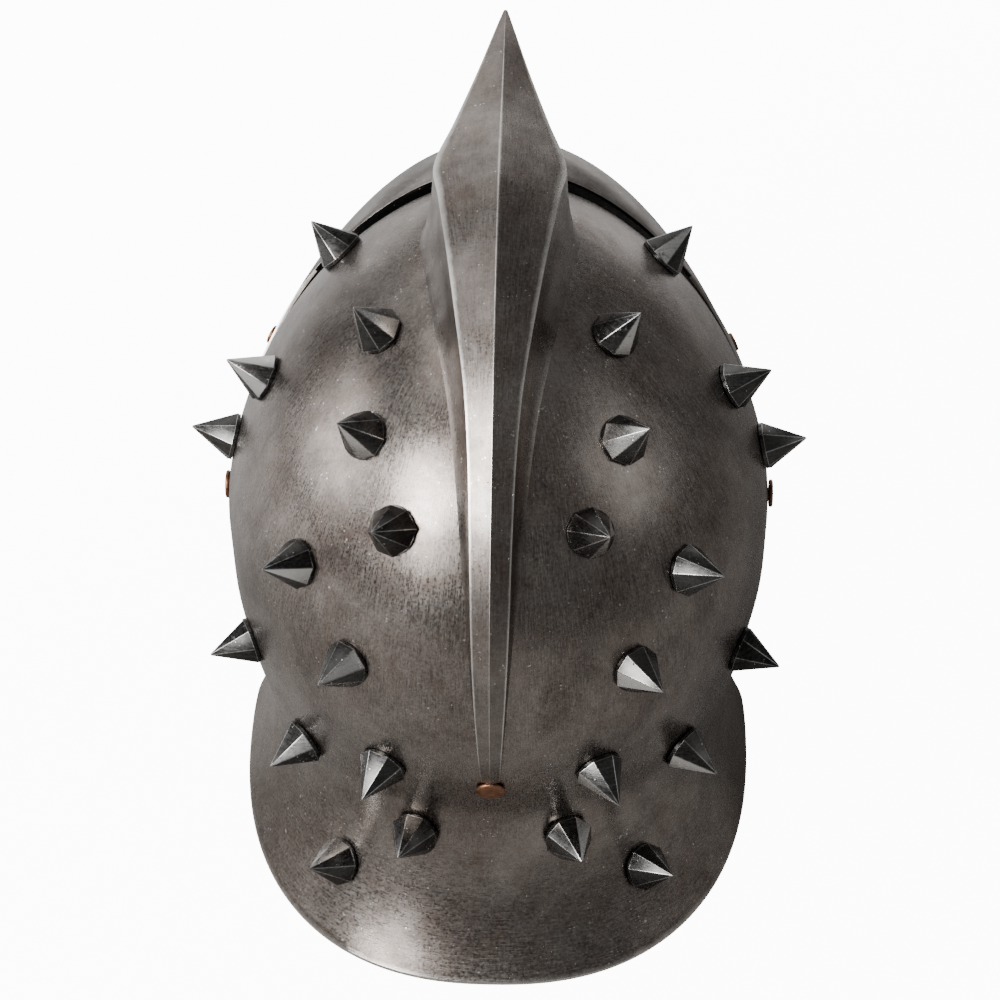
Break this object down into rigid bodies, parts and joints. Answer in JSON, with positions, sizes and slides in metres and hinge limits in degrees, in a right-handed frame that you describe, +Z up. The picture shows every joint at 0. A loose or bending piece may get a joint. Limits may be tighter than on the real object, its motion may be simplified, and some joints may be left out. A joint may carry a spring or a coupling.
{
  "type": "gladiator helmet",
  "caption": "Steel helmet with a flared tail, an open arched face, a keeled comb, a brow visor that stands off the forehead, copper rivets and faceted spikes.",
  "frame": {"origin": "middle of the box around the helmet, on the surface that it stands on", "axes": "+Z up, the face looks along -Y, +X is the wearer's left"},
  "size_m": [0.2514, 0.2936, 0.3059],
  "materials": {
    "brushed_steel": "satin, vertical brushing, brown-grey patina",
    "forged_steel": "forged and ground, fine pits, bright edges",
    "visor_steel": "brushed, bright cut edge",
    "blackened_steel": "blackened, bright worn edges",
    "aged_copper": "aged copper, dark in the hollows"
  },
  "bodies": {
    "root": {"skull": "brushed_steel", "comb": "forged_steel", "brow_visor": "visor_steel", "rivet_nape": "aged_copper", "rivet_left": "aged_copper", "rivet_right": "aged_copper", "visor_rivet_left_1": "aged_copper", "visor_rivet_left_2": "aged_copper", "visor_rivet_right_1": "aged_copper", "visor_rivet_right_2": "aged_copper", "spike_left_01": "blackened_steel", "spike_left_02": "blackened_steel", "spike_left_03": "blackened_steel", "spike_left_04": "blackened_steel", "spike_left_05": "blackened_steel", "spike_left_06": "blackened_steel", "spike_left_07": "blackened_steel", "spike_left_08": "blackened_steel", "spike_left_09": "blackened_steel", "spike_left_10": "blackened_steel", "spike_left_11": "blackened_steel", "spike_left_12": "blackened_steel", "spike_left_13": "blackened_steel", "spike_right_01": "blackened_steel", "spike_right_02": "blackened_steel", "spike_right_03": "blackened_steel", "spike_right_04": "blackened_steel", "spike_right_05": "blackened_steel", "spike_right_06": "blackened_steel", "spike_right_07": "blackened_steel", "spike_right_08": "blackened_steel", "spike_right_09": "blackened_steel", "spike_right_10": "blackened_steel", "spike_right_11": "blackened_steel", "spike_right_12": "blackened_steel", "spike_right_13": "blackened_steel"}
  },
  "joints": []
}
